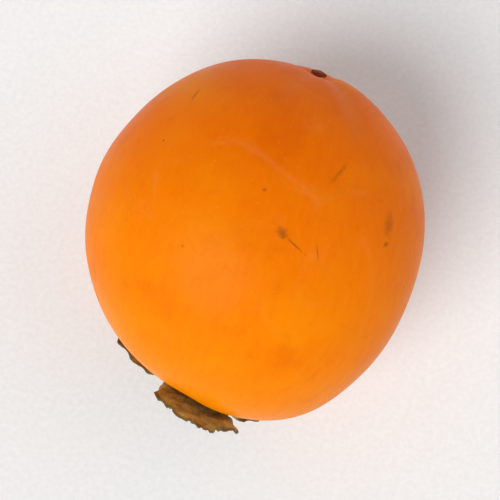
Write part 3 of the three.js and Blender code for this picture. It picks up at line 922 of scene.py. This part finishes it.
def skin_finish():
    """Waxy persimmon skin.

    The colour goes from yellow-orange at the calyx to redder orange at the apex, in uneven clouds
    and faint streaks along the fruit, with a thin bloom, tiny pale and dark dots and a few rubbed
    marks.
    """
    finish = Finish("persimmon_skin")
    place = fruit_place(finish)
    share = finish.value_of("share")
    streaks = finish.noise(streak_place(finish, place, run=9), scale=26, detail=3, roughness=0.6)
    clouds = finish.noise(place, scale=42, detail=2, roughness=0.5)
    mottle = finish.noise(place, scale=330, detail=4, roughness=0.65)
    dusky = finish.noise(place, scale=58, detail=3, roughness=0.6)
    bloom = finish.noise(place, scale=75, detail=5, roughness=0.6, distortion=1.4)

    clouded_by = finish.math("MULTIPLY", finish.math("SUBTRACT", clouds, 0.5), 0.34)
    colour = finish.ramp(finish.math("ADD", share, clouded_by), SKIN_COLOURS)
    streaked_at = finish.span(share, 0.08, 0.42, 0.5, 0.18)
    streaked = finish.math("MULTIPLY", finish.span(streaks, 0.35, 0.72), streaked_at)
    colour = finish.tint(colour, streaked, STREAK_COLOUR)
    colour = finish.tint(colour, finish.span(clouds, 0.46, 0.76, 0, 0.4), CLOUD_COLOUR)
    colour = finish.tint(colour, finish.span(dusky, 0.52, 0.78, 0, 0.42), DUSKY_COLOUR)
    colour = finish.tint(colour, finish.span(mottle, 0.52, 0.75, 0, 0.2), MOTTLE_COLOUR)
    colour = finish.tint(colour, finish.span(bloom, 0.54, 0.8, 0, 0.2), BLOOM_COLOUR)
    in_crease = finish.span(bloom, 0.3, 0.6, 0.03, 0.22)
    creased = finish.math("MULTIPLY", finish.value_of("crease"), in_crease)
    colour = finish.tint(colour, creased, CREASE_COLOUR)

    dots = finish.cells(place, scale=680)
    colour = finish.tint(colour, finish.span(dots["Distance"], 0.05, 0.16, 0.22, 0), DOT_COLOUR)
    specks = finish.cells(place, scale=150)
    chance = finish.noise(specks["Position"], scale=90, detail=0)
    chosen = finish.math("GREATER_THAN", chance, 0.56)
    speck = finish.span(specks["Distance"], 0.015, 0.05, 0.5, 0)
    colour = finish.tint(colour, finish.math("MULTIPLY", speck, chosen), SPECK_COLOUR)

    marks = 0.0
    for row in SCUFFS:
        marks = finish.math("MAXIMUM", marks, scuff_mask(finish, place, *row))
    colour = finish.tint(colour, marks, SCUFF_COLOUR)
    # The dimple round the style is darkened: partly the scar's own colour, partly painted shade in
    # its hollow.
    colour = finish.tint(colour, scar_and_shade_mask(finish, place), SCAR_AND_SHADE_COLOUR)

    waxy = finish.span(bloom, 0.35, 0.75, 0.34, 0.5)
    rubbed = finish.math("MULTIPLY", marks, 0.35)
    fine = finish.noise(place, scale=2100, detail=2)
    dimpled = finish.bump(mottle, distance=0.00009, strength=0.5)
    return finish.set(
        Base_Color=colour,
        Roughness=finish.math("ADD", waxy, rubbed),
        Normal=finish.bump(fine, distance=0.00002, strength=0.45, under=dimpled),
        Specular_IOR_Level=0.035,
        Coat_Weight=0.012,
        Coat_Roughness=0.2,
        Coat_IOR=1.4,
        Subsurface_Weight=0.08,
        Subsurface_Radius=(1.0, 0.38, 0.1),
        Subsurface_Scale=0.003,
    )


# Screen colours of the dry calyx, from its darker blotches to its paler ones, and of its details.
INNER_FACE_COLOURS = ((0.3, (158, 152, 78)), (0.5, (196, 190, 104)), (0.68, (218, 212, 140)))
OUTER_FACE_COLOURS = (
    (0.3, (80, 54, 36)),
    (0.46, (112, 84, 54)),
    (0.6, (132, 108, 68)),
    (0.74, (146, 126, 84)),
)
GRAIN_COLOUR = (70, 54, 32)
VEIN_COLOUR = (150, 124, 78)
MARGIN_COLOUR = (64, 38, 24)
BOSS_COLOUR = (70, 54, 36)
RIB_COLOUR = (148, 120, 74)


def calyx_finish():
    """Dry sepals: brown outside and khaki towards the fruit.

    Both faces are darker at the margin and on the boss, and paler along the veins and in blotches.
    """
    finish = Finish("dry_calyx")
    flat = finish.flat_place()
    blotch = finish.noise(flat, scale=0.32, detail=4, roughness=0.6, distortion=0.4)
    grain = finish.noise(flat, scale=2.6, detail=5, roughness=0.7)
    fibre = finish.noise(finish.object_place(), scale=1500, detail=3, roughness=0.7)
    net = finish.cells(flat, scale=1.35, feature="DISTANCE_TO_EDGE")
    ribs = finish.span(net["Distance"], 0, 0.12, 1, 0)

    inner_face = finish.ramp(blotch, INNER_FACE_COLOURS)
    outer_face = finish.ramp(blotch, OUTER_FACE_COLOURS)
    colour = finish.blend(finish.value_of("outer"), inner_face, outer_face)
    colour = finish.tint(colour, finish.span(grain, 0.45, 0.7, 0, 0.36), GRAIN_COLOUR)
    veined = finish.math("MULTIPLY", finish.value_of("vein"), 0.5)
    colour = finish.tint(colour, veined, VEIN_COLOUR)
    wandering = finish.math("MULTIPLY", finish.math("SUBTRACT", blotch, 0.5), 3)
    from_margin = finish.math("ADD", finish.value_of("from_margin"), wandering)
    colour = finish.tint(colour, finish.span(from_margin, 0.1, 1.3, 0.7, 0), MARGIN_COLOUR)
    on_boss = finish.span(finish.value_of("centre"), 4.5, 8.5, 0.55, 0)
    colour = finish.tint(colour, on_boss, BOSS_COLOUR)
    colour = finish.tint(colour, finish.math("MULTIPLY", ribs, 0.28), RIB_COLOUR)

    relief = finish.bump(ribs, distance=0.00006, strength=0.6)
    relief = finish.bump(grain, distance=0.00022, strength=0.7, under=relief)
    relief = finish.bump(fibre, distance=0.00006, strength=0.6, under=relief)
    return finish.set(
        Base_Color=colour,
        Roughness=finish.span(grain, 0.3, 0.7, 0.68, 0.9),
        Normal=relief,
        Specular_IOR_Level=0.3,
        Sheen_Weight=0.08,
        Sheen_Roughness=0.6,
    )


BARK_COLOURS = ((0.32, (52, 38, 26)), (0.52, (104, 84, 58)), (0.7, (142, 122, 92)))
# From the bark's dark rim over the pale wood to the pith, by share of the stub's rows.
CUT_FACE_COLOURS = (
    (0.76, (74, 54, 34)),
    (0.8, (166, 136, 92)),
    (0.93, (150, 118, 76)),
    (0.975, (96, 70, 44)),
)


def stalk_finish():
    """Grey-brown bark with lengthwise cracks, and a paler cut face with a dark rim and pith."""
    finish = Finish("stalk_wood")
    place = fruit_place(finish)
    along = finish.value_of("along")
    lengthwise = finish.mapping(place, scale=(1, 0.25, 1))
    bark = finish.noise(lengthwise, scale=1700, detail=5, roughness=0.7)
    spots = finish.math("MULTIPLY", finish.noise(place, scale=900, detail=2), 0.03)
    cut_face = finish.ramp(finish.math("ADD", along, spots), CUT_FACE_COLOURS)
    on_cut = finish.span(along, PEDUNCLE_SIDE, PEDUNCLE_SIDE + 0.03)
    return finish.set(
        Base_Color=finish.blend(on_cut, finish.ramp(bark, BARK_COLOURS), cut_face),
        Roughness=finish.span(bark, 0.3, 0.7, 0.75, 0.95),
        Normal=finish.bump(bark, distance=0.0002, strength=0.7),
        Specular_IOR_Level=0.25,
    )


STYLE_COLOURS = ((0.35, (104, 46, 20)), (0.55, (150, 74, 34)), (0.72, (188, 120, 66)))


def style_finish():
    """Red-brown, shrivelled tissue with paler ridges."""
    finish = Finish("dry_style")
    crust = finish.noise(finish.object_place(), scale=2600, detail=4, roughness=0.7)
    return finish.set(
        Base_Color=finish.ramp(crust, STYLE_COLOURS),
        Roughness=finish.span(crust, 0.3, 0.7, 0.6, 0.9),
        Normal=finish.bump(crust, distance=0.00015, strength=0.8),
        Specular_IOR_Level=0.3,
    )


FLOOR_COLOURS = ((0.3, (238, 239, 240)), (0.7, (243, 244, 245)))


def paper_finish():
    """Pale matt paper for the floor, with a faint tooth."""
    finish = Finish("pale_floor")
    tooth = finish.noise(finish.object_place(), scale=900, detail=2)
    colour = finish.ramp(tooth, FLOOR_COLOURS)
    return finish.set(Base_Color=colour, Roughness=0.85, Specular_IOR_Level=0.2)


# ------------------------------------------------ stage, light and camera

FLOOR_ROWS, FLOOR_COLUMNS = 48, 96
FLOOR_LEVEL = 0.6  # share of the floor's rows that lie level
FLOOR_MIDDLE = 0.02  # in metres, as the next three are
FLOOR_RADIUS = 1.7
WALL_RUN, WALL_HEIGHT = 0.6, 1.2

# Lights: the direction that each shines from, its spread in degrees, its strength and its colour.
LIGHTS = {
    "key_light": ((-0.25, -0.75, 0.85), 38, 2.3, (1, 0.99, 0.97)),
    "fill_light": ((0.75, 0.3, 0.6), 60, 0.42, (1, 0.985, 0.96)),
}
ROOM_STRENGTH = 0.34

CAMERA_AZIMUTH = math.radians(21)
CAMERA_ELEVATION = math.radians(82)
CAMERA_LENS = 85
CAMERA_DISTANCE = 0.245
CAMERA_AIM = (0.0005, -0.001, 0.032)


def make_floor():
    """A round pale floor whose rim sweeps up into a wall: a profile swung round the vertical."""
    run = np.linspace(0, 1, FLOOR_ROWS + 1)[1:, None]
    turn = np.linspace(0, TURN, FLOOR_COLUMNS, endpoint=False)[None, :]
    swept = np.clip((run - FLOOR_LEVEL) / (1 - FLOOR_LEVEL), 0, 1) * np.pi / 2
    level = FLOOR_MIDDLE + FLOOR_RADIUS * np.minimum(run / FLOOR_LEVEL, 1)
    radius = level + WALL_RUN * np.sin(swept)
    height = WALL_HEIGHT * (1 - np.cos(swept))
    rings = np.stack([radius * np.sin(turn), radius * np.cos(turn), height + 0 * turn], -1)
    points = np.vstack([[(0, 0, 0)], rings.reshape(-1, 3)])
    faces = fan_faces(FLOOR_COLUMNS), ring_faces(FLOOR_ROWS, FLOOR_COLUMNS)
    floor = mesh_piece("pale_floor", points, *faces, body=None)
    floor.data.materials.append(paper_finish())


def make_light(name, direction, spread, strength, colour):
    """An even, far-off light. Its lamp stands out along the direction that it shines from."""
    light = bpy.data.lights.new(name, "SUN")
    light.angle = math.radians(spread)
    light.energy = strength
    light.color = colour
    lamp = bpy.data.objects.new(name, light)
    lamp.location = direction
    lamp.rotation_euler = Vector(direction).to_track_quat("Z", "Y").to_euler()
    bpy.context.scene.collection.objects.link(lamp)


def make_lights():
    """A key light from beyond the calyx end, a weaker fill from the other side and a pale room."""
    for name, row in LIGHTS.items():
        make_light(name, *row)
    world = bpy.data.worlds.new("pale_room")
    bpy.context.scene.world = world
    world.use_nodes = True
    background = world.node_tree.nodes["Background"]
    background.inputs["Color"].default_value = (1, 1, 1, 1)
    background.inputs["Strength"].default_value = ROOM_STRENGTH


def make_camera():
    """The camera looks down on the fruit, turned so that the apex points up and to the right."""
    back = Vector((
        math.sin(CAMERA_AZIMUTH) * math.cos(CAMERA_ELEVATION),
        -math.cos(CAMERA_AZIMUTH) * math.cos(CAMERA_ELEVATION),
        math.sin(CAMERA_ELEVATION),
    ))
    camera = bpy.data.cameras.new("camera")
    camera.lens = CAMERA_LENS
    camera.clip_start = 0.01
    camera.clip_end = 20
    holder = bpy.data.objects.new("camera", camera)
    holder.location = Vector(CAMERA_AIM) + back * CAMERA_DISTANCE
    holder.rotation_mode = "QUATERNION"
    holder.rotation_quaternion = (-back).to_track_quat("-Z", "Y")
    bpy.context.scene.collection.objects.link(holder)
    bpy.context.scene.camera = holder


# ------------------------------------------------ the scene

make_camera()
make_fruit().data.materials.append(skin_finish())
make_calyx().data.materials.append(calyx_finish())
make_peduncle().data.materials.append(stalk_finish())
make_style().data.materials.append(style_finish())
make_floor()
make_lights()
bpy.context.scene.view_settings.view_transform = "Standard"
